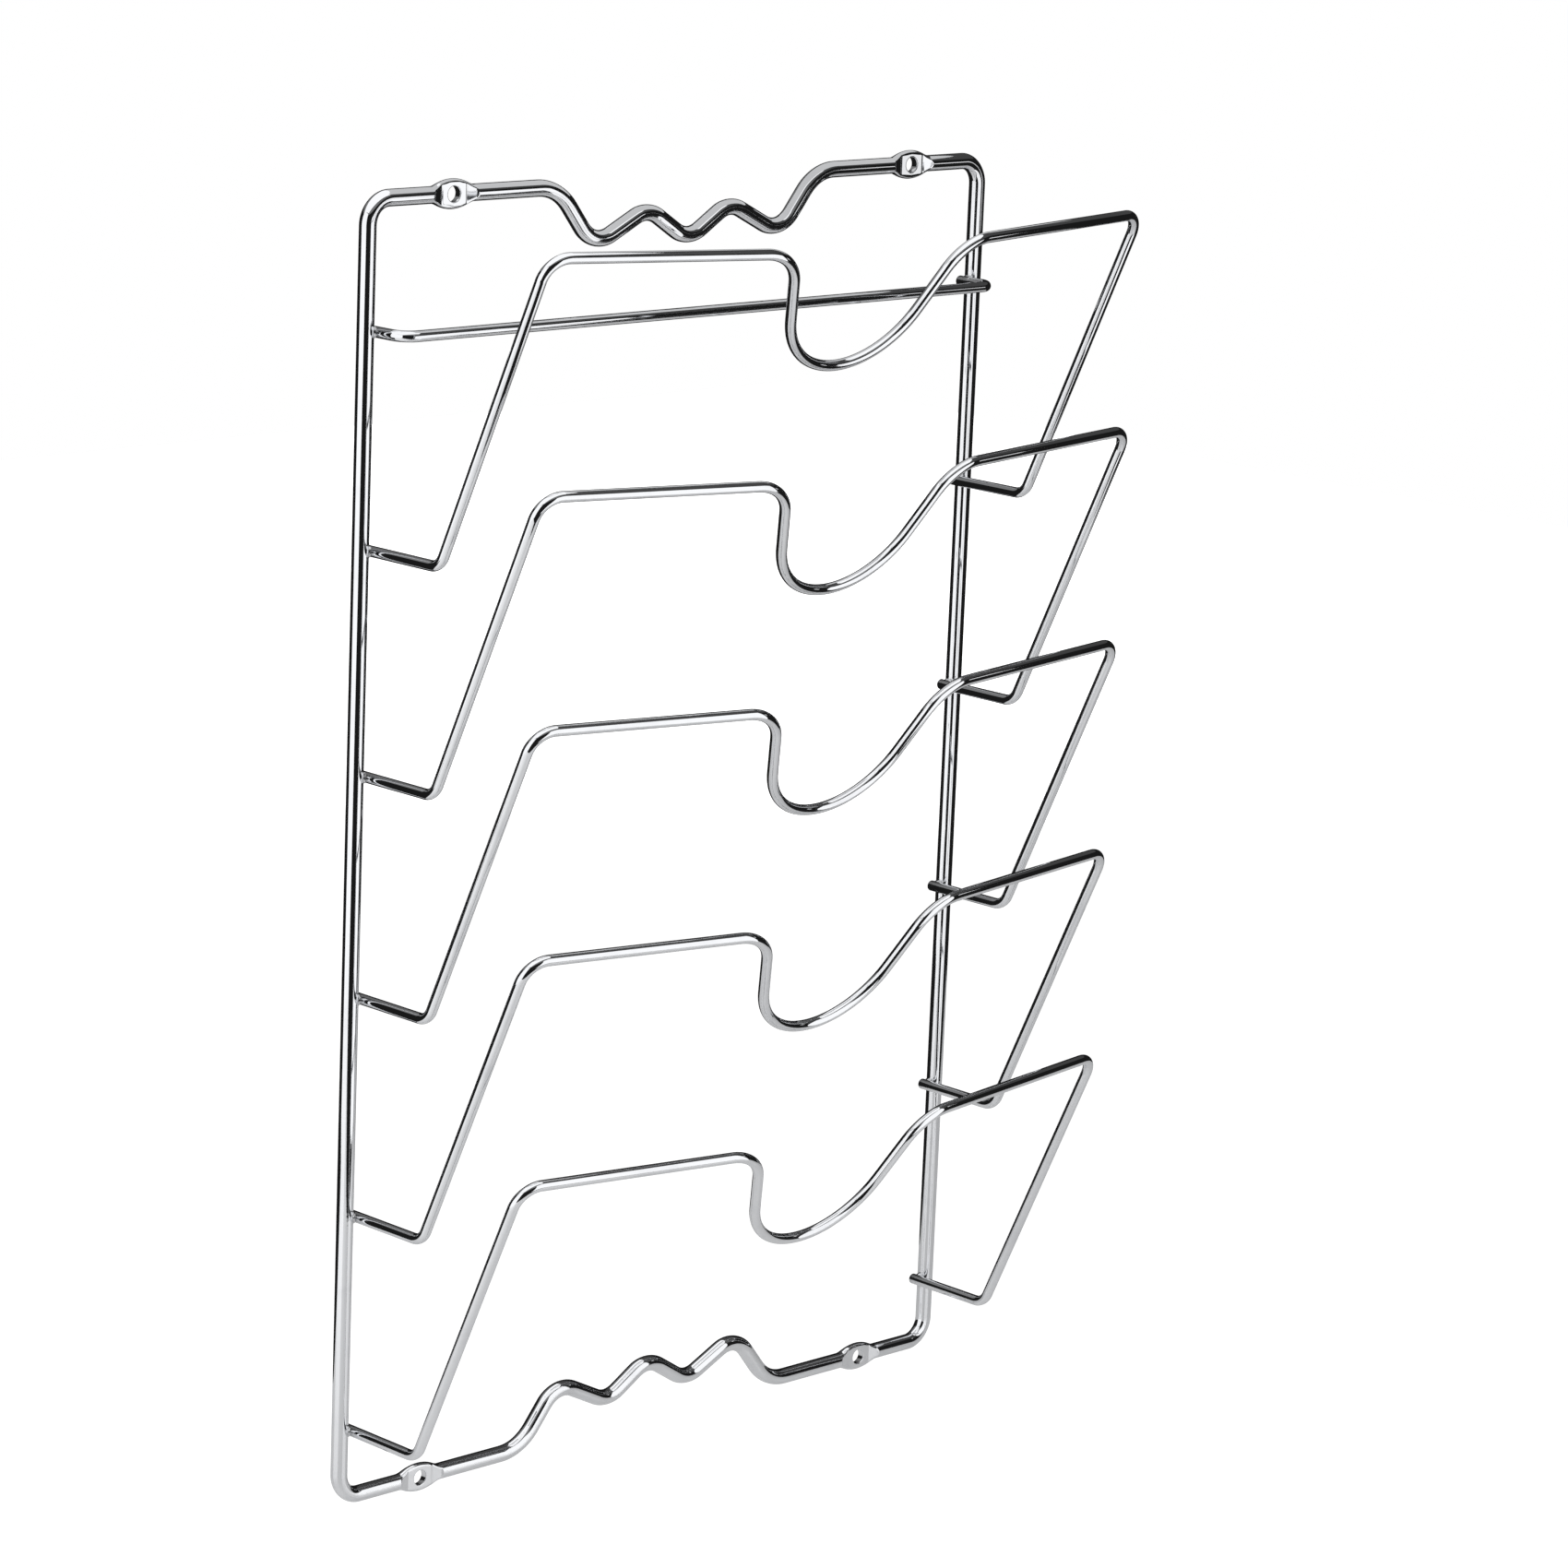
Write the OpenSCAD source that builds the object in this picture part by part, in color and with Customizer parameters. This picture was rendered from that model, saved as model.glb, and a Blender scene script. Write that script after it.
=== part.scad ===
// Wire rack for pot covers. Millimetres, Z up, the wall is on the +Y side and the room on the -Y side.
// The origin is the middle of the four fixing holes, halfway through the flat of their eyes.

/* [Frame] */

// overall width of the wire frame
frame_w = 303; // [240:1:400]
// overall height of the wire frame
frame_h = 470; // [440:1:620]
// diameter of the frame wire
frame_wire = 6; // [4:0.5:8]
// bend radius of the four corners, to the middle of the wire
corner_r = 9; // [6:0.5:20]

/* [Wave in the top and bottom bars] */

// from the middle to where the wave leaves the bar
wave_shoulder = 63; // [60:0.5:80]
// from the middle to the outer dips
wave_outer = 45.5; // [40:0.5:48]
// from the middle to the crests between the dips
wave_inner = 20; // [18:0.5:24]
// how far the dips come in from the bar
wave_dip = 22; // [18:0.5:26]
// how far the crests come in from the bar
wave_crest = 9.5; // [7:0.5:12]
// bend radius of the dips and crests
wave_r = 11.5; // [8:0.5:12]
// bend radius where the bar turns into the wave
shoulder_r = 19; // [12:0.5:20]

/* [Fixing eyes] */

// from the middle to each pair of fixing holes
eye_x = 111.5; // [100:0.5:120]
// hole for the screw
eye_hole = 5.6; // [3.5:0.1:6.5]
// height of the flattened wire around the hole
eye_h = 10.6; // [9:0.1:13]
// length of the flat face
eye_flat = 12; // [9:0.5:16]
// length of the slope from the round wire to the flat face
eye_slope = 4; // [2:0.5:6]
// thickness left between the two flat faces
eye_thick = 3; // [2:0.1:4]
// radius of the bulged top and bottom edges of the eye
eye_bulge_r = 16.5; // [14:0.5:24]
// rounding of the hole's edge by the punch
eye_break = 0.4; // [0.2:0.1:0.6]

/* [Holders] */

// diameter of the holder wire
holder_wire = 4; // [3:0.25:5]
// height of the lowest arms over the middle of the bottom bar
holder_low = 25; // [19:0.5:40]
// height of the middle of the top bar over the highest arms
holder_top = 121; // [90:0.5:140]
// from the middle of the frame wire to the bend of the arm
arm_reach = 36.5; // [20:0.5:50]
// from the middle of the frame wire to the top corner of the leg
leg_reach = 87; // [70:0.5:100]
// height of the top corner over the arm
leg_rise = 111; // [90:0.5:130]
// bend radius between arm and leg
arm_r = 7; // [5:0.5:12]
// bend radius of the top corner
leg_r = 9; // [6:0.5:14]

/* [Notch for the knob] */

// half the width of the notch, to the corner where it leaves the front bar
notch_half = 41.5; // [36:0.5:50]
// slope of the notch's sides from straight down its plane, in degrees
notch_side = 21; // [18:0.5:30]
// bend radius of the round bottom
notch_r = 33; // [20:0.5:34]
// bend radius between the front bar and the notch
notch_top_r = 17.5; // [8:0.5:20]
// how much further forward the notch's corner is than the leg's
notch_forward = 11.5; // [4:0.5:20]
// how much lower the notch's corner is than the leg's
notch_drop = 3; // [0:0.5:8]
// slope of the notch's plane from upright, in degrees
notch_lean = 26.5; // [18:0.5:34]

/* [Crossbar] */

// diameter of the crossbar wire
bar_wire = 4; // [3:0.25:5]
// from the middle of the top bar down to the crossbar
bar_drop = 45.5; // [30:0.5:60]
// from the middle of the frame wire to the middle of the crossbar
bar_reach = 15; // [9:0.5:24]
// bend radius of the crossbar's ends
bar_r = 6; // [4:0.5:8]

/* [Welds] */

// how deep each wire is sunk into the frame wire by its weld
weld_sink = 0.3; // [0.1:0.05:0.6]
// diameter of the weld bead
weld_bead = 4.6; // [4:0.1:6]
// how far the wire ends stay off the wall
end_gap = 0.5; // [0:0.1:2]

/* [Hidden] */

$fn = 40;
frame_r = frame_wire / 2;
// middle of the frame wire, measured from the origin
half_w = frame_w / 2 - frame_r;
half_h = frame_h / 2 - frame_r;
// the plane of the wall, which the round of the frame wire touches
wall_y = frame_r;
// height of the lowest arms, the distance from one holder to the next, and height of the crossbar
low_z = holder_low - half_h;
holder_pitch = (2 * half_h - holder_low - holder_top) / 4;
bar_z = half_h - bar_drop;
// Corners of one quarter of the frame, from the middle of an upright to the middle of the bar.
// The last corner is past the mirror plane, where the wire is cut.
quarter_points = [
    [half_w, 0, 0],
    [half_w, 0, half_h],
    [wave_shoulder, 0, half_h],
    [wave_outer, 0, half_h - wave_dip],
    [wave_inner, 0, half_h - wave_crest],
    [0, 0, half_h - wave_dip],
    [-wave_inner, 0, half_h - wave_crest]
];
quarter_radii = [0, corner_r, shoulder_r, wave_r, wave_r, wave_r, 0];
// Corners of one half of a holder, from the end of the arm past the bottom of the notch.
// The notch's two sides would meet at notch_apex down its plane: the bottom bend rounds them off.
arm_x = half_w - frame_r - holder_wire / 2 + weld_sink;
notch_y = -leg_reach - notch_forward;
notch_z = leg_rise - notch_drop;
notch_apex = notch_half / tan(notch_side);
holder_points = [
    [arm_x, wall_y - end_gap, 0],
    [arm_x, -arm_reach, 0],
    [arm_x, -leg_reach, leg_rise],
    [notch_half, notch_y, notch_z],
    [0, notch_y + notch_apex * sin(notch_lean), notch_z - notch_apex * cos(notch_lean)],
    [-notch_half, notch_y, notch_z]
];
holder_radii = [0, arm_r, leg_r, notch_top_r, notch_r, 0];
// corners of one half of the crossbar, from the end of its leg past its middle
bar_x = half_w - frame_r - bar_wire / 2 + weld_sink;
bar_points = [
    [bar_x, wall_y - end_gap, 0],
    [bar_x, -bar_reach, 0],
    [-bar_x, -bar_reach, 0]
];
bar_radii = [0, bar_r, 0];
// how much a bend swells the wire, and how far the straight wire runs into it
bend_swell = 0.02;
bend_lap = 0.25;
// depth of each pressed face of an eye under the round wire
eye_press = frame_r - eye_thick / 2;
// how far a cutting shape reaches past what it cuts
cut = 1;

function unit(v) = v / norm(v);
// direction of the straight piece that starts at corner i
function heading(p, i) = unit(p[i + 1] - p[i]);
// angle of the bend at corner i, and the direction of its bend axis
function bend_angle(p, i) = acos(heading(p, i - 1) * heading(p, i));
function bend_axis(p, i) = unit(cross(heading(p, i - 1), heading(p, i)));
// length of straight wire that the bend at corner i uses up on each side
function bend_length(p, r, i) = i == 0 || i == len(p) - 1 ? 0 : r[i] * tan(bend_angle(p, i) / 2);
// length of the straight piece that ends at the bend of corner i
function run(p, r, i) = norm(p[i] - p[i - 1]) - bend_length(p, r, i - 1) - bend_length(p, r, i);
// turn about the wire between the bend before corner i and the one at it
function twist(p, i) = i < 2 || i == len(p) - 1 ? 0 : atan2(
    cross(bend_axis(p, i - 1), bend_axis(p, i)) * heading(p, i - 1),
    bend_axis(p, i - 1) * bend_axis(p, i)
);

// where the wire goes on after a bend from +Z towards +X
module after_bend(radius, angle) {
    translate([radius, 0, 0])
        rotate([0, angle, 0])
            translate([-radius, 0, 0])
                children();
}

// The part of a ring that bends a wire from +Z towards +X. It is swollen by a hair, so that the
// straight pieces end inside it and no two surfaces touch along a tangent.
module bend(wire, radius, angle) {
    translate([radius, 0, 0])
        rotate([90, 0, 180])
            rotate_extrude(angle = angle)
                translate([radius, 0])
                    circle(d = wire + 2 * bend_swell);
}

// the straight piece that ends at corner i, its bend, and the rest of the wire
module wire_from(p, r, wire, i) {
    start = i == 1 ? 0 : bend_lap;
    rotate([0, 0, twist(p, i)]) {
        translate([0, 0, -start])
            cylinder(d = wire, h = run(p, r, i) + start + bend_lap);
        if (i < len(p) - 1)
            translate([0, 0, run(p, r, i)]) {
                bend(wire, r[i], bend_angle(p, i));
                after_bend(r[i], bend_angle(p, i))
                    wire_from(p, r, wire, i + 1);
            }
    }
}

// a wire through the corners p, each rounded to its radius in r
module bent_wire(p, r, wire) {
    z = heading(p, 0);
    y = bend_axis(p, 1);
    x = cross(y, z);
    multmatrix([
        [x[0], y[0], z[0], p[0][0]],
        [x[1], y[1], z[1], p[0][1]],
        [x[2], y[2], z[2], p[0][2]]
    ])
        wire_from(p, r, wire, 1);
}

// keeps what is on the right of the mirror plane x = 0
module right_half() {
    difference() {
        children();
        translate([-half_w, -frame_w, -half_h])
            cube([half_w, 2 * frame_w, 2 * frame_h]);
    }
}

module both_sides() {
    children();
    mirror([1, 0, 0])
        children();
}

// places things drawn in XZ, about the middle of the wire, at a fixing hole of the top bar
module at_eye() {
    translate([eye_x, 0, half_h])
        rotate([90, 0, 0])
            children();
}

// the widened flat of an eye
module eye_plate() {
    linear_extrude(height = eye_thick, center = true)
        intersection() {
            translate([0, eye_h / 2 - eye_bulge_r])
                circle(r = eye_bulge_r);
            translate([0, eye_bulge_r - eye_h / 2])
                circle(r = eye_bulge_r);
        }
}

// what the press takes off one face of the wire, with a slope at each end
module eye_die() {
    grow = (eye_press + cut) / eye_press;
    rotate([90, 0, 0])
        linear_extrude(height = eye_h, center = true)
            polygon([
                [-eye_flat / 2, eye_thick / 2],
                [eye_flat / 2, eye_thick / 2],
                [eye_flat / 2 + eye_slope * grow, frame_r + cut],
                [-eye_flat / 2 - eye_slope * grow, frame_r + cut]
            ]);
}

// punched hole, its edge rounded a little on both faces
module eye_punch() {
    cylinder(d = eye_hole, h = frame_wire, center = true);
    for (face = [-1, 1])
        scale([1, 1, face])
            translate([0, 0, eye_thick / 2 - eye_break])
                cylinder(d1 = eye_hole, d2 = eye_hole + 4 * eye_break, h = 2 * eye_break);
}

// one quarter of the frame wire with its eye
module frame_quarter() {
    difference() {
        union() {
            difference() {
                right_half()
                    bent_wire(quarter_points, quarter_radii, frame_wire);
                at_eye() {
                    eye_die();
                    mirror([0, 0, 1])
                        eye_die();
                }
            }
            at_eye()
                eye_plate();
        }
        at_eye()
            eye_punch();
    }
}

// the closed wire that goes against the wall
module frame() {
    color([0.8, 0.81, 0.83]) {
        both_sides()
            frame_quarter();
        mirror([0, 0, 1])
            both_sides()
                frame_quarter();
    }
}

// a wire end with its weld bead, seated on the upright at x = half_w, wherever children() ends
module welded() {
    difference() {
        union() {
            children();
            translate([half_w - frame_r, 0, 0])
                sphere(d = weld_bead);
        }
        translate([half_w, 0, 0])
            cylinder(d = frame_wire, h = weld_bead + holder_wire, center = true);
    }
}

// one holder, its arms at height z
module lid_holder(z) {
    color([0.84, 0.85, 0.87])
        translate([0, 0, z])
            both_sides()
                welded()
                    right_half()
                        bent_wire(holder_points, holder_radii, holder_wire);
}

// the plain bar that ties the uprights above the holders
module top_crossbar() {
    color([0.84, 0.85, 0.87])
        translate([0, 0, bar_z])
            both_sides()
                welded()
                    right_half()
                        bent_wire(bar_points, bar_radii, bar_wire);
}

module lid_holder_1() {
    lid_holder(low_z + 4 * holder_pitch);
}

module lid_holder_2() {
    lid_holder(low_z + 3 * holder_pitch);
}

module lid_holder_3() {
    lid_holder(low_z + 2 * holder_pitch);
}

module lid_holder_4() {
    lid_holder(low_z + holder_pitch);
}

module lid_holder_5() {
    lid_holder(low_z);
}

frame();
top_crossbar();
lid_holder_1();
lid_holder_2();
lid_holder_3();
lid_holder_4();
lid_holder_5();
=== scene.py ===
import math

import bmesh
import bpy
from mathutils import Matrix, Vector, noise


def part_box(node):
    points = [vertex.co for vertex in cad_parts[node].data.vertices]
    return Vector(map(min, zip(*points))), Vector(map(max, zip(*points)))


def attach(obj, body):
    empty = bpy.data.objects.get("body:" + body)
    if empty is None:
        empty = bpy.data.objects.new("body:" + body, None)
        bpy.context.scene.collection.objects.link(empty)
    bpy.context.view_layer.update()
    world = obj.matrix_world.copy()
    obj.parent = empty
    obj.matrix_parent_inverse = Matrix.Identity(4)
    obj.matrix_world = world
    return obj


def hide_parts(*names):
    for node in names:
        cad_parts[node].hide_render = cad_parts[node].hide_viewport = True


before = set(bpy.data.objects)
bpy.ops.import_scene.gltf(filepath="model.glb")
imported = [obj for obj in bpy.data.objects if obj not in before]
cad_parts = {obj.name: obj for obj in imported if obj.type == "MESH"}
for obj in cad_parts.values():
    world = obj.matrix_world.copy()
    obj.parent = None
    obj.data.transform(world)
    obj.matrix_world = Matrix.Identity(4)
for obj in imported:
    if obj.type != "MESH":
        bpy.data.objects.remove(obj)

mm = 0.001
sharpAngle = math.radians(50)
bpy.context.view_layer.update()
frameLow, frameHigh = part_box("frame")


# Camera: fitted to the photo, picture 1700 x 1700
photoCamera = {
    "place": (-1.32214, -1.40413, 0.44259),
    "yaw": 44.542,  # from +Y towards +X, degrees
    "pitch": -12.581,
    "roll": 2.342,
    "lens": 124.07,
    "sensor": 36.0,
}


def makeCamera(c):
    yaw, pitch, roll = (math.radians(c[k]) for k in ("yaw", "pitch", "roll"))
    forward = Vector((math.sin(yaw) * math.cos(pitch), math.cos(yaw) * math.cos(pitch), math.sin(pitch)))
    level = Vector((math.cos(yaw), -math.sin(yaw), 0))
    upright = level.cross(forward)
    right = level * math.cos(roll) + upright * math.sin(roll)
    up = upright * math.cos(roll) - level * math.sin(roll)
    data = bpy.data.cameras.new("photoCamera")
    data.lens = c["lens"]
    data.sensor_width = c["sensor"]
    data.sensor_fit = "HORIZONTAL"
    data.clip_end = 20
    camera = bpy.data.objects.new("photoCamera", data)
    turn = Matrix((right, up, -forward)).transposed()
    camera.matrix_world = Matrix.Translation(c["place"]) @ turn.to_4x4()
    bpy.context.scene.collection.objects.link(camera)
    bpy.context.scene.camera = camera


# Shader maths as Python expressions
class Sock:
    tree = None

    def __init__(self, link):
        self.link = link

    @staticmethod
    def node(kind, settings=None, inputs=None, output=0):
        made = Sock.tree.nodes.new(kind)
        for key, value in (settings or {}).items():
            setattr(made, key, value)
        for key, value in (inputs or {}).items():
            if isinstance(value, Sock):
                Sock.tree.links.new(value.link, made.inputs[key])
            elif value is not None:
                made.inputs[key].default_value = value
        return Sock(made.outputs[output]) if made.outputs else None

    def maths(self, operation, other=0.0, swap=False):
        pair = (other, self) if swap else (self, other)
        return Sock.node("ShaderNodeMath", {"operation": operation}, {0: pair[0], 1: pair[1]})

    def __add__(self, other):
        return self.maths("ADD", other)

    __radd__ = __add__

    def __sub__(self, other):
        return self.maths("SUBTRACT", other)

    def __rsub__(self, other):
        return self.maths("SUBTRACT", other, True)

    def __mul__(self, other):
        return self.maths("MULTIPLY", other)

    __rmul__ = __mul__

    def clamp(self, low, high):
        limits = {"Value": self, "From Min": low, "From Max": high}
        return Sock.node("ShaderNodeMapRange", {"interpolation_type": "SMOOTHSTEP"}, limits)

    def blend(self, first, second):
        return Sock.node("ShaderNodeMix", {"data_type": "RGBA"}, {0: self, 6: first, 7: second}, 2)


def newMaterial(name):
    made = bpy.data.materials.new(name)
    made.use_nodes = True
    Sock.tree = made.node_tree
    made.node_tree.nodes.clear()
    return made


def surface(shader):
    Sock.node("ShaderNodeOutputMaterial", None, {"Surface": shader})


# Bright chrome plate on drawn wire
chromeFinish = {
    "plate": (0.80, 0.81, 0.83),
    "haze": (0.72, 0.73, 0.755),  # where the plate is a little thinner
    "weldTone": (0.52, 0.52, 0.525),
    "polish": 0.035,  # roughness of the bright parts
    "dull": 0.10,
    "weldDull": 0.30,
    "speckDull": 0.08,
    "hazeLength": 0.021,  # sizes of the patterns, metres
    "speckLength": 0.0011,
    "mottleLength": 0.0016,
    "waveLength": 0.045,  # slow unevenness of drawn wire
    "waveHeight": 0.00016,
    "peelLength": 0.0035,  # fine unevenness of the plate
    "peelHeight": 0.0000035,
    "pitLength": 0.0009,  # burnt pits round a weld
    "pitHeight": 0.00006,
}


def chromeMaterial(name, c):
    made = newMaterial(name)
    where = Sock.node("ShaderNodeTexCoord", None, None, 3)

    def grain(length, detail, rough=0.5):
        given = {"Vector": where, "Scale": 1 / length, "Detail": detail, "Roughness": rough}
        return Sock.node("ShaderNodeTexNoise", None, given)

    nearWeld = Sock.node("ShaderNodeAttribute", {"attribute_name": "nearWeld"}, None, 2)
    haze = grain(c["hazeLength"], 4.0, 0.6).clamp(0.50, 0.78)
    specks = grain(c["speckLength"], 2.0).clamp(0.70, 0.80)
    weldMottle = (nearWeld * grain(c["mottleLength"], 3.0)).clamp(0.12, 0.55)
    tone = weldMottle.blend(haze.blend((*c["plate"], 1), (*c["haze"], 1)), (*c["weldTone"], 1))
    rough = haze * (c["dull"] - c["polish"]) + specks * c["speckDull"]
    rough += weldMottle * (c["weldDull"] - c["polish"])
    slow = grain(c["waveLength"], 1.0)
    peel = grain(c["peelLength"], 2.0)
    pits = grain(c["pitLength"], 1.0) * nearWeld

    def bump(height, distance, below=None):
        given = {"Strength": 1.0, "Distance": distance, "Height": height, "Normal": below}
        return Sock.node("ShaderNodeBump", None, given)

    swell = bump(slow, c["waveHeight"])
    skin = bump(peel, c["peelHeight"], swell)
    burnt = bump(pits, c["pitHeight"], skin)
    given = {"Base Color": tone, "Metallic": 1.0, "Roughness": rough + c["polish"], "Normal": burnt}
    surface(Sock.node("ShaderNodeBsdfPrincipled", None, given))
    return made


# A station is a place along a wire: its middle, its direction, how deep in a bend it is, and
# the way to the middle of that bend
def roundedRoute(corners, radii, step, turnStep, closed=False, fine=None):
    count = len(corners)
    bends = {}
    for i in range(count) if closed else range(1, count - 1):
        into = (corners[i] - corners[i - 1]).normalized()
        out = (corners[(i + 1) % count] - corners[i]).normalized()
        angle = into.angle(out)
        used = radii[i] * math.tan(angle / 2)
        bends[i] = (into, out, angle, used)
    stations = []

    def straight(first, last):
        run = last - first
        along = run.normalized()
        places = [step * k for k in range(1, int(run.length / step) + 1) if step * k < run.length - step / 2]
        for middle, reach, pitch in fine or []:
            at = (middle - first).dot(along)
            off = (first + along * at - middle).length
            if off < 1e-6 and reach < at < run.length - reach:
                places = [p for p in places if abs(p - at) > reach + pitch]
                half = round(reach / pitch)
                places += [at + pitch * k for k in range(-half, half + 1)]
        stations.extend((first + along * p, along, 0.0, None) for p in [0.0] + sorted(places) + [run.length])

    def turned(i):
        into, out, angle, used = bends[i]
        axis = into.cross(out).normalized()
        inward = axis.cross(into)
        centre = corners[i] - into * used + inward * radii[i]
        parts = max(4, math.ceil(math.degrees(angle) / turnStep))
        for k in range(1, parts):
            spin = Matrix.Rotation(angle * k / parts, 3, axis)
            through = math.sin(math.pi * k / parts) ** 2
            stations.append((centre - spin @ inward * radii[i], spin @ into, through, spin @ inward))

    last = count if closed else count - 1
    for i in range(last):
        j = (i + 1) % count
        start = corners[i] + (bends[i][1] * bends[i][3] if i in bends else Vector())
        end = corners[j] - (bends[j][0] * bends[j][3] if j in bends else Vector())
        straight(start, end)
        if j in bends:
            turned(j)
    return stations


# The ring of points of a wire at each station, carried along without twist
def sweptRings(stations, section, angles, side, squeeze):
    rings = []
    before = stations[0][1]
    for place, along, through, inward in stations:
        side = (before.rotation_difference(along) @ side).normalized()
        side = (side - along * side.dot(along)).normalized()
        other = along.cross(side)
        before = along
        ring = []
        for angle in angles:
            out, across = section(place, angle)
            offset = side * out + other * across
            if inward is not None:
                offset -= inward * offset.dot(inward) * squeeze * through
            ring.append(place + offset)
        rings.append(ring)
    return rings


# Angles round a section, closer together by "dense" at its two sides
def sectionAngles(around, dense=0.0):
    even = [2 * math.pi * k / around for k in range(around)]
    return [a - dense / 2 * math.sin(2 * a) for a in even]


# A band of faces between two rings of equal count
def bridge(bm, low, high):
    around = len(low)
    for k in range(around):
        n = (k + 1) % around
        bm.faces.new((low[k], low[n], high[n], high[k]))


def skinRings(bm, rings, closed=False):
    verts = [[bm.verts.new(p * mm) for p in ring] for ring in rings]
    for low, high in zip(verts, verts[1:]):
        bridge(bm, low, high)
    if closed:
        bridge(bm, verts[-1], verts[0])
    return verts


# Cut end of a wire: a small rounded edge and a flat face
def endCap(bm, ring, centre, outward, radius, edge, steps=4):
    last = ring
    for s in range(1, steps + 1):
        angle = math.pi / 2 * s / steps
        shrink = (radius - edge + edge * math.cos(angle)) / radius
        lift = outward * edge * math.sin(angle)
        new = [bm.verts.new((centre + (v.co / mm - centre) * shrink + lift) * mm) for v in ring]
        bridge(bm, last, new)
        last = new
    bm.faces.new(last)


def finishPiece(bm, name, nodeName, material, welds, weldReach):
    bmesh.ops.recalc_face_normals(bm, faces=bm.faces)
    openEdges = sum(1 for e in bm.edges if len(e.link_faces) != 2)
    mesh = bpy.data.meshes.new(name)
    bm.to_mesh(mesh)
    bm.free()
    mesh.shade_smooth()
    mesh.set_sharp_from_angle(angle=sharpAngle)
    near = mesh.attributes.new("nearWeld", "FLOAT", "POINT")
    for v in mesh.vertices:
        gap = min(((v.co / mm - w).length for w in welds), default=1e9)
        near.data[v.index].value = max(0.0, 1 - gap / weldReach)
    mesh.materials.append(material)
    piece = bpy.data.objects.new(name, mesh)
    bpy.context.scene.collection.objects.link(piece)
    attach(piece, "root")
    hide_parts(nodeName)
    print(name, len(mesh.polygons), "faces,", openEdges, "open edges")


# Frame: one closed wire with a wave in the top and the bottom bar and four pressed eyes
frameWire = {
    "cornerR": 9.0,
    "waveShoulder": 63.0,
    "waveOuter": 45.5,
    "waveInner": 20.0,
    "waveDip": 22.0,
    "waveCrest": 9.5,
    "waveR": 11.5,
    "shoulderR": 19.0,
    "around": 88,
    "dense": 0.6,
    "step": 5.0,
    "turnStep": 4.0,
    "squeeze": 0.03,  # how much a bend narrows the wire in its own plane
    "weldReach": 6.0,
}
eye = {
    "x": 111.5,
    "hole": 5.6,
    "height": 10.6,
    "thick": 3.0,
    "bulgeR": 16.5,
    "bulgeBlend": 0.8,  # softness where the widened edge meets the wire
    "bulgeFade": 1.5,
    "roll": 0.3,  # rounding where the punch went in
    "blend": 0.12,  # softness of the pressed edges
    "faceEnd": 5.7,  # along the wire, from the middle of the hole
    "slopeEnd": 9.3,
    "slopeDepth": 2.42,  # half the thickness there
    "dieEnd": 10.1,
    "crease": 0.07,
    "creaseWidth": 0.3,
    "reach": 11.2,
    "pitch": 0.2,
    "around": 56,  # points round the hole
    "rollSteps": 5,
    "collar": 0.35,  # ring of small faces round the hole
}
wireR = frameHigh.y / mm
halfW = frameHigh.x / mm - wireR
halfH = frameHigh.z / mm - eye["height"] / 2
eyeCentres = [Vector((sx * eye["x"], 0, sz * halfH)) for sx in (1, -1) for sz in (1, -1)]


def softMin(a, b, k):
    h = max(k - abs(a - b), 0) / k
    return min(a, b) - h * h * k / 4


# Half width and half height of the frame wire's section: round, and pressed flat at an eye
def frameSection(place, angle):
    c, s = math.cos(angle), math.sin(angle)
    away = min(abs(place.x - e.x) + abs(place.z - e.z) for e in eyeCentres)
    if away > eye["reach"] + eye["pitch"]:
        return wireR * c, wireR * s
    lens = eye["height"] / 2 - eye["bulgeR"] + math.sqrt(eye["bulgeR"] ** 2 - away**2)
    wide = -softMin(-wireR, -lens, eye["bulgeBlend"])
    if away > eye["reach"] - eye["bulgeFade"]:
        wide = wireR + (wide - wireR) * max(0.0, (eye["reach"] - away) / eye["bulgeFade"])
    face, slope, depth, last = eye["faceEnd"], eye["slopeEnd"], eye["slopeDepth"], eye["dieEnd"]
    deep = eye["thick"] / 2 + max(0.0, away - face) * (depth - eye["thick"] / 2) / (slope - face)
    if away > slope:
        deep = depth + (wireR - depth) * min(1.0, (away - slope) / (last - slope)) + max(0.0, away - last)
    deep -= eye["crease"] * math.exp(-(((away - face) / eye["creaseWidth"]) ** 2))
    round_ = 1 / math.sqrt((c / wide) ** 2 + (s / wireR) ** 2)
    r = softMin(round_, deep / max(abs(s), 1e-6), eye["blend"])
    return r * c, r * s


# Takes the small faces over a hole away from one face of an eye, and gives the edges left round it
def openFace(bm, centre, level, within):
    doomed = []
    for f in bm.faces:
        spots = [v.co / mm - centre for v in f.verts]
        if all(abs(p.y - level) < 1e-4 for p in spots):
            middle = sum(spots, Vector()) / len(spots)
            if math.hypot(middle.x, middle.z) < within:
                doomed.append(f)
    inner = set(doomed)
    edges = dict.fromkeys(e for f in doomed for e in f.edges)
    loop = [e for e in edges if sum(f in inner for f in e.link_faces) == 1]
    bmesh.ops.delete(bm, geom=doomed, context="FACES")
    return loop


# Rings of points that roll from the face of an eye into the bore
def rolledRim(bm, centre, face):
    radius, roll, half = eye["hole"] / 2, eye["roll"], eye["thick"] / 2
    turns = [2 * math.pi * k / eye["around"] for k in range(eye["around"])]
    rings = []
    for s in range(eye["rollSteps"] + 1):
        a = math.pi / 2 * s / eye["rollSteps"]
        r = radius + roll - roll * math.sin(a)
        y = face * (half - roll + roll * math.cos(a))
        ring = [centre + Vector((r * math.cos(t), y, r * math.sin(t))) for t in turns]
        rings.append([bm.verts.new(p * mm) for p in ring])
    return rings


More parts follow.
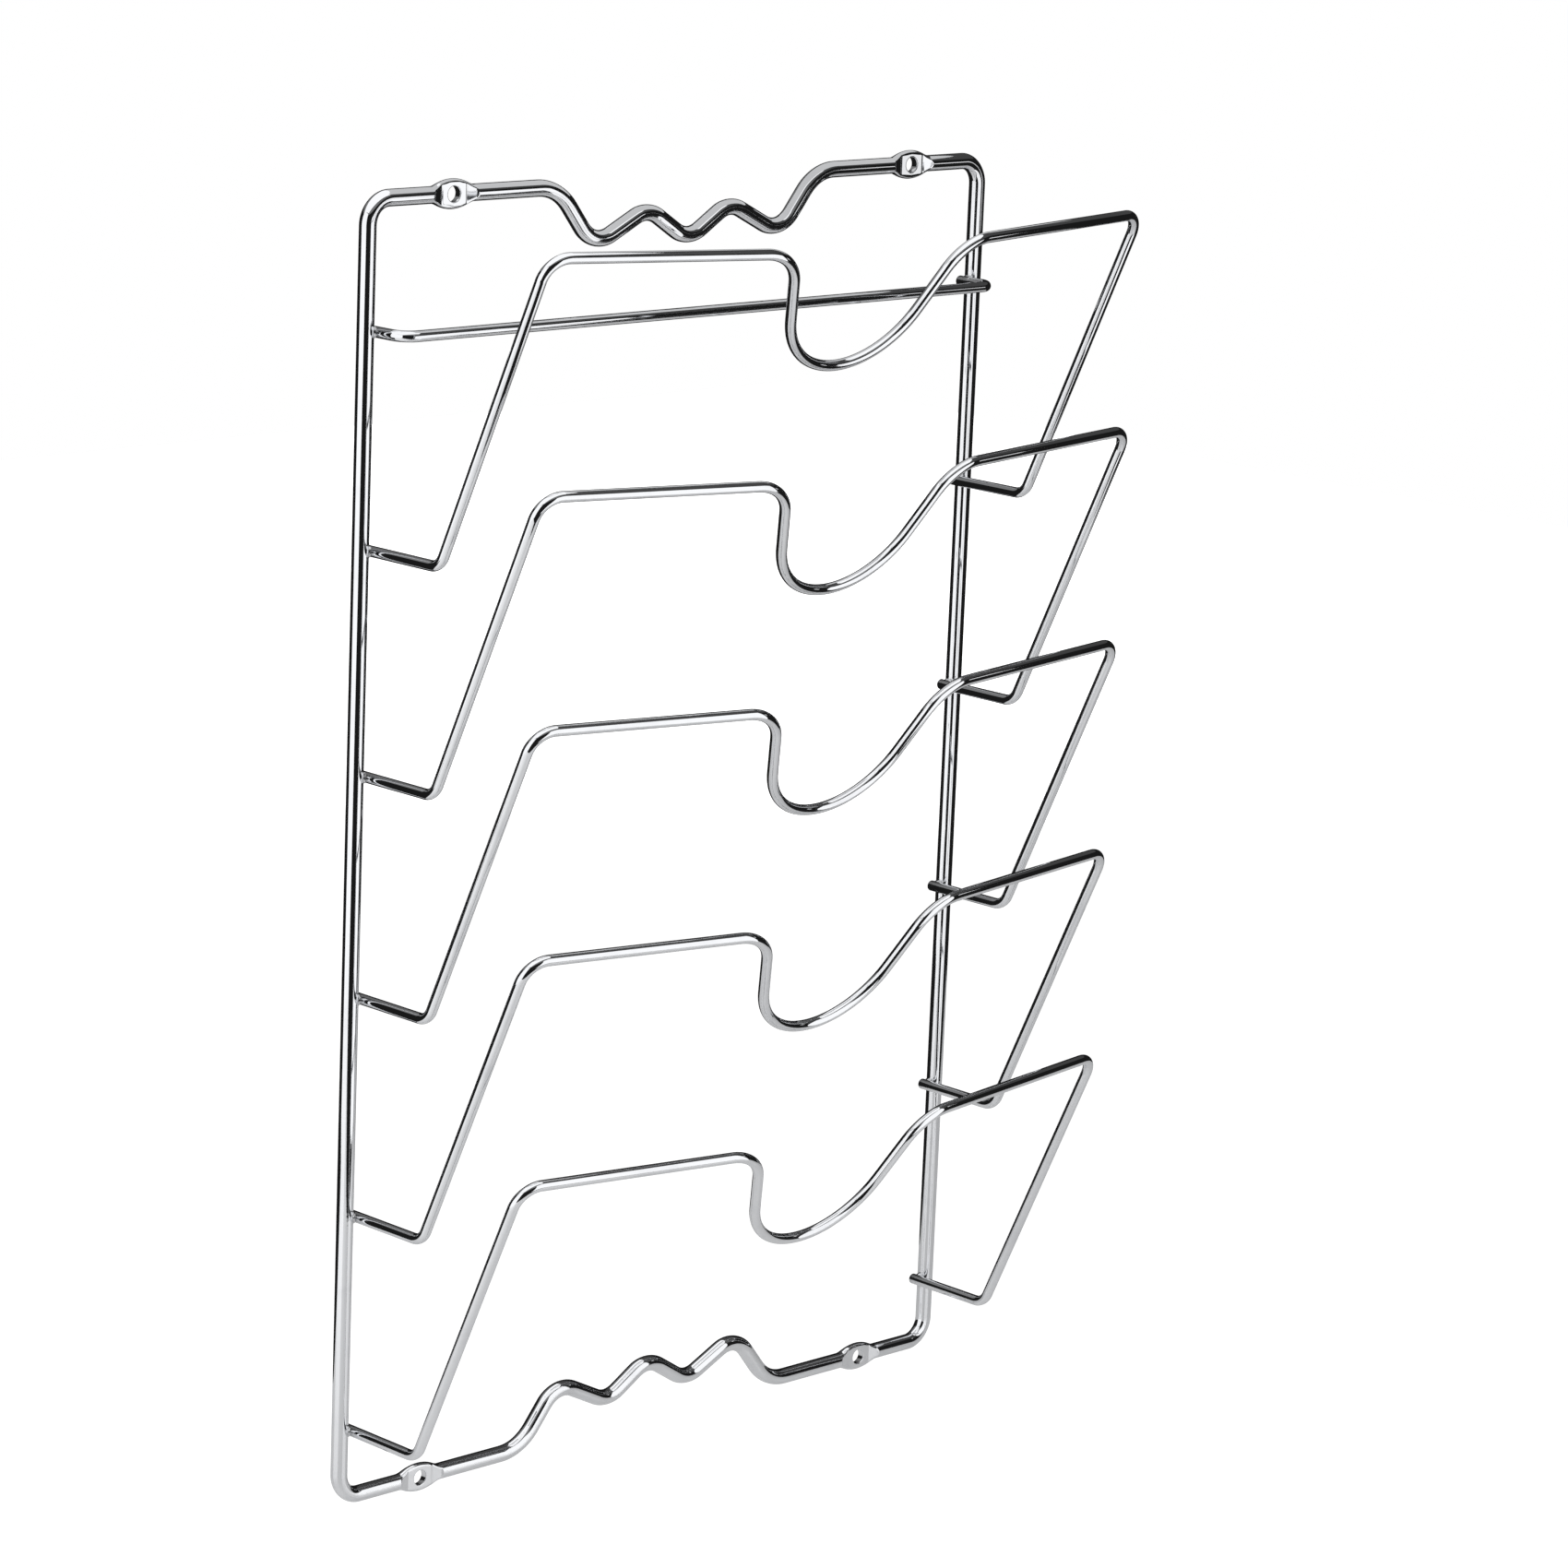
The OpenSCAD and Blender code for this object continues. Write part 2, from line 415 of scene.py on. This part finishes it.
def punchHoles(bm):
    within = eye["hole"] / 2 + eye["roll"] + eye["collar"]
    for centre in eyeCentres:
        rims = []
        for face in (-1, 1):
            loop = openFace(bm, centre, face * eye["thick"] / 2, within)
            rings = rolledRim(bm, centre, face)
            for low, high in zip(rings, rings[1:]):
                bridge(bm, low, high)
            first = rings[0]
            loop += [bm.edges.get((a, b)) for a, b in zip(first, first[1:] + first[:1])]
            bmesh.ops.triangle_fill(bm, use_beauty=True, use_dissolve=False, edges=loop)
            rims.append(rings[-1])
        bridge(bm, *rims)
    loose = [v for v in bm.verts if not v.link_faces]
    bmesh.ops.delete(bm, geom=loose, context="VERTS")


def makeFrame(material, welds):
    w = frameWire
    dip, crest = halfH - w["waveDip"], halfH - w["waveCrest"]
    halfBar = [
        (halfW, halfH, w["cornerR"]),
        (w["waveShoulder"], halfH, w["shoulderR"]),
        (w["waveOuter"], dip, w["waveR"]),
        (w["waveInner"], crest, w["waveR"]),
    ]
    bar = halfBar + [(0, dip, w["waveR"])] + [(-x, z, r) for x, z, r in reversed(halfBar)]
    loop = bar + [(-x, -z, r) for x, z, r in bar]
    corners = [Vector((x, 0, z)) for x, z, r in loop]
    radii = [r for x, z, r in loop]
    fine = [(e, eye["reach"], eye["pitch"]) for e in eyeCentres]
    stations = roundedRoute(corners, radii, w["step"], w["turnStep"], True, fine)
    start = stations[0][1].cross(Vector((0, 1, 0)))
    rings = sweptRings(stations, frameSection, sectionAngles(w["around"], w["dense"]), start, w["squeeze"])
    bm = bmesh.new()
    skinRings(bm, rings, True)
    bmesh.ops.remove_doubles(bm, verts=bm.verts, dist=0.001 * mm)
    punchHoles(bm)
    finishPiece(bm, "wallFrame", "frame", material, welds, w["weldReach"])


# Weld bead: the lump of metal squeezed out between a wire end and an upright
weldBead = {
    "radius": 2.25,
    "lump": 0.22,
    "coarse": 1.7,  # how often the lumps repeat
    "fine": 4.5,
    "fineShare": 0.35,
    "reach": 9.0,
}


def addBead(bm, centre, seed):
    b = weldBead
    made = bmesh.ops.create_icosphere(bm, subdivisions=4, radius=1.0)
    for v in made["verts"]:
        d = v.co.normalized()
        bump = noise.noise(d * b["coarse"] + Vector((seed * 3.1, seed * 1.7, 0))) * b["lump"]
        bump += noise.noise(d * b["fine"] + Vector((0, seed * 2.3, seed))) * b["lump"] * b["fineShare"]
        v.co = (centre + d * (b["radius"] + bump)) * mm


# Holders: arms welded to the uprights, leaning legs, a front bar and the round notch in its middle
holderWire = {
    "radius": 2.0,
    "armReach": 36.5,
    "legReach": 87.0,
    "legRise": 111.0,
    "armR": 7.0,
    "legR": 9.0,
    "notchHalf": 41.5,
    "notchSide": 21.0,  # degrees
    "notchR": 33.0,
    "notchTopR": 17.5,
    "notchForward": 11.5,
    "notchDrop": 3.0,
    "notchLean": 26.5,
    "sink": 0.3,  # how deep the weld sinks the wire into the upright
    "endEdge": 0.6,
    "around": 48,
    "step": 5.0,
    "turnStep": 3.0,
    "squeeze": 0.035,
}
crossbarWire = {"radius": 2.0, "reach": 15.0, "bendR": 6.0, "seed": 6}


def makeOpenWire(name, nodeName, corners, radii, radius, material, seed):
    h = holderWire
    stations = roundedRoute(corners, radii, h["step"], h["turnStep"])
    start = Vector((0, 0, 1))

    def section(place, angle):
        return radius * math.cos(angle), radius * math.sin(angle)

    rings = sweptRings(stations, section, sectionAngles(h["around"]), start, h["squeeze"])
    bm = bmesh.new()
    verts = skinRings(bm, rings)
    for ring, station, way in ((verts[0], stations[0], -1), (verts[-1], stations[-1], 1)):
        endCap(bm, ring, station[0], station[1] * way, radius, h["endEdge"])
    bmesh.ops.remove_doubles(bm, verts=bm.verts, dist=0.001 * mm)
    z = corners[0].z
    welds = [Vector((side * (halfW - wireR), 0, z)) for side in (-1, 1)]
    for side, weld in zip((-1, 1), welds):
        addBead(bm, weld, seed * 2 + side)
    finishPiece(bm, name, nodeName, material, welds, weldBead["reach"])


def bothEnds(half):
    return half + [Vector((-p.x, p.y, p.z)) for p in reversed(half) if p.x > 0]


def makeHolder(index, material):
    h = holderWire
    nodeName = "lid_holder_%d" % index
    low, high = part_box(nodeName)
    z = low.z / mm + h["radius"]
    endY = high.y / mm - h["endEdge"]
    armX = halfW - wireR - h["radius"] + h["sink"]
    frontY = -h["legReach"] - h["notchForward"]
    frontZ = z + h["legRise"] - h["notchDrop"]
    apex = h["notchHalf"] / math.tan(math.radians(h["notchSide"]))
    lean = math.radians(h["notchLean"])
    half = [
        Vector((armX, endY, z)),
        Vector((armX, -h["armReach"], z)),
        Vector((armX, -h["legReach"], z + h["legRise"])),
        Vector((h["notchHalf"], frontY, frontZ)),
        Vector((0, frontY + apex * math.sin(lean), frontZ - apex * math.cos(lean))),
    ]
    halfR = [0, h["armR"], h["legR"], h["notchTopR"]]
    radii = halfR + [h["notchR"]] + list(reversed(halfR))
    makeOpenWire("lidHolder%d" % index, nodeName, bothEnds(half), radii, h["radius"], material, index)


def makeCrossbar(material):
    c = crossbarWire
    low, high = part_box("top_crossbar")
    z = (low.z + high.z) / 2 / mm
    armX = halfW - wireR - c["radius"] + holderWire["sink"]
    half = [
        Vector((armX, high.y / mm - holderWire["endEdge"], z)),
        Vector((armX, -c["reach"], z)),
    ]
    radii = [0, c["bendR"], c["bendR"], 0]
    makeOpenWire("topCrossbar", "top_crossbar", bothEnds(half), radii, c["radius"], material, c["seed"])


# Studio: white floor and backdrop, and what the chrome mirrors: a pale half-gloss table whose glow is
# painted light, three soft boxes, two small cards, dark cloth round them and a grey ceiling whose glow is
# painted light
studio = {
    "tableTop": ((-1.00, -0.37), (0.34, -0.37), (0.46, -0.29), (0.75, -0.20), (0.75, 0.16), (-1.00, 0.16)),
    "tableColour": 0.45,
    "tablePaintedLight": (0.58, 0.33),  # painted light: brighter glow at its left, painted shade under the rack
    "tablePaintedLightFade": (-0.50, -0.08),
    "tableGap": 0.006,  # from the lowest wire down to the table
    "tableRough": 0.14,
    "rightBox": ((0.245, -0.330), (-0.125, -0.520), -0.24, 0.255),
    "leftBox": ((-1.154, 0.654), (-1.370, -0.740), -0.44, 0.95),
    "boxTone": 1.2,
    "overheadBox": ((-1.30, 0.50), (-0.80, 0.75), 1.00),
    "topCard": ((-0.10, 0.20), (-0.06, 0.07), 0.300),  # over the top bar and the crossbar
    "topCardTone": 0.65,
    "eyeCard": ((0.5175, -0.447), (0.5665, -0.397), 0.139, 0.205),  # mirrored by the upper right eye
    "eyeCardTone": 1.0,
    "floorLow": -0.46,
    "floorHalf": 3,
    "floorColour": 0.8,
    "floorRough": 0.6,
    "roomRadius": 2.0,
    "roomLow": -0.45,
    "roomTone": 0.012,
    "ceilingRings": (28, 45, 65, 85),  # degrees above the horizon
    "ceilingPaintedLight": (0.22, 0.06),  # painted light on the ceiling, over the left and over the right side
    "ceilingPaintedLightFade": (-0.6, 1.3),
    "sides": 48,
    "worldTone": 0.6,
}


def grey(tone):
    return (tone, tone, tone, 1)


# From one grey to another along X
def greyAcross(tones, fade):
    where = Sock.node("ShaderNodeTexCoord", None, None, 3)
    across = Sock.node("ShaderNodeSeparateXYZ", None, {0: where}).clamp(*fade)
    return across.blend(grey(tones[0]), grey(tones[1]))


def glowMaterial(name, tone, fade=None):
    made = newMaterial(name)
    shade = greyAcross(tone, fade) if fade else grey(tone)
    surface(Sock.node("ShaderNodeEmission", None, {"Color": shade, "Strength": 1.0}))
    return made


def tableMaterial(s):
    made = newMaterial("paleTablePaintedLight")
    given = {
        "Base Color": grey(s["tableColour"]),
        "Roughness": s["tableRough"],
        "IOR": 1.6,
        # The emission is painted light on the table: lit at its left, painted shade under the rack
        "Emission Color": greyAcross(s["tablePaintedLight"], s["tablePaintedLightFade"]),
        "Emission Strength": 1.0,
    }
    surface(Sock.node("ShaderNodeBsdfPrincipled", None, given))
    return made


# 1 for the rays that see the background: the camera's, and those that metal and glass send on
def backgroundRays():
    rays = Sock.tree.nodes.new("ShaderNodeLightPath").outputs
    return Sock(rays["Is Camera Ray"]) + Sock(rays["Is Glossy Ray"]) + Sock(rays["Is Transmission Ray"])


def floorMaterial(s):
    made = newMaterial("whiteFloor")
    given = {
        "Base Color": grey(s["floorColour"]),
        "Roughness": s["floorRough"],
        "Emission Color": backgroundRays().blend(grey(0), grey(1)),
        "Emission Strength": 1.0,
    }
    surface(Sock.node("ShaderNodeBsdfPrincipled", None, given))
    return made


def stagePiece(name, points, faces, material, cameraSees=False):
    mesh = bpy.data.meshes.new(name)
    mesh.from_pydata(points, [], faces)
    mesh.materials.append(material)
    piece = bpy.data.objects.new(name, mesh)
    bpy.context.scene.collection.objects.link(piece)
    piece.visible_camera = cameraSees
    piece.visible_shadow = cameraSees


def uprightCard(name, ends, material):
    (x0, y0), (x1, y1), low, high = ends
    corners = [(x0, y0, low), (x1, y1, low), (x1, y1, high), (x0, y0, high)]
    stagePiece(name, corners, [(0, 1, 2, 3)], material)


def flatCard(name, spanX, spanY, z, material, cameraSees=False):
    (x0, x1), (y0, y1) = spanX, spanY
    corners = [(x0, y0, z), (x1, y0, z), (x1, y1, z), (x0, y1, z)]
    stagePiece(name, corners, [(0, 1, 2, 3)], material, cameraSees)


def makeStudio(s):
    tableZ = frameLow.z - s["tableGap"]
    top = [(x, y, tableZ) for x, y in s["tableTop"]]
    stagePiece("table", top, [tuple(range(len(top)))], tableMaterial(s))
    span = (-s["floorHalf"], s["floorHalf"])
    flatCard("floor", span, span, s["floorLow"], floorMaterial(s), True)
    flatCard("topCard", *s["topCard"], glowMaterial("topGlow", s["topCardTone"]))
    box = glowMaterial("softBox", s["boxTone"])
    uprightCard("rightSoftBox", s["rightBox"], box)
    uprightCard("leftSoftBox", s["leftBox"], box)
    flatCard("overheadSoftBox", *s["overheadBox"], box)
    uprightCard("eyeCard", s["eyeCard"], glowMaterial("eyeGlow", s["eyeCardTone"]))
    sides = s["sides"]
    r = s["roomRadius"]
    levels = [(r, s["roomLow"])]
    levels += [(r * math.cos(up), r * math.sin(up)) for up in map(math.radians, s["ceilingRings"])]
    turns = [2 * math.pi * k / sides for k in range(sides)]
    rings = [[(out * math.cos(t), out * math.sin(t), z) for t in turns] for out, z in levels]
    wall = [(k, (k + 1) % sides, sides + (k + 1) % sides, sides + k) for k in range(sides)]
    dark = glowMaterial("darkCloth", s["roomTone"])
    stagePiece("darkRoom", rings[0] + rings[1], wall + [tuple(range(sides))], dark)
    bands = len(s["ceilingRings"]) - 1
    dome = [tuple(sides * n + k for k in face) for n in range(bands) for face in wall]
    dome.append(tuple(sides * bands + k for k in range(sides)))
    # The ceiling's glow is painted light, brighter over the left side
    ceiling = glowMaterial("greyCeilingPaintedLight", s["ceilingPaintedLight"], s["ceilingPaintedLightFade"])
    stagePiece("ceiling", sum(rings[1:], []), dome, ceiling)


def makeBackdrop(s):
    world = bpy.data.worlds.new("whiteBackdrop")
    bpy.context.scene.world = world
    world.use_nodes = True
    Sock.tree = world.node_tree
    world.node_tree.nodes.clear()
    tone = Sock.node("ShaderNodeBackground", None, {"Color": grey(s["worldTone"]), "Strength": 1.0})
    white = Sock.node("ShaderNodeBackground", None, {"Color": grey(1), "Strength": 1.0})
    mixed = Sock.node("ShaderNodeMixShader", None, {0: backgroundRays(), 1: tone, 2: white})
    Sock.node("ShaderNodeOutputWorld", None, {"Surface": mixed})
    bpy.context.scene.view_settings.view_transform = "Standard"


makeCamera(photoCamera)
makeStudio(studio)
makeBackdrop(studio)
print("stage ready")
frameChrome = chromeMaterial("frameChrome", chromeFinish)
wireChrome = chromeMaterial("wireChrome", chromeFinish)
for i in range(1, 6):
    makeHolder(i, wireChrome)
makeCrossbar(wireChrome)
armHeights = [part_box("lid_holder_%d" % i)[0].z / mm + holderWire["radius"] for i in range(1, 6)]
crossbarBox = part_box("top_crossbar")
armHeights.append((crossbarBox[0].z + crossbarBox[1].z) / 2 / mm)
allWelds = [Vector((side * (halfW - wireR), 0, z)) for z in armHeights for side in (-1, 1)]
makeFrame(frameChrome, allWelds)
print("rack ready")
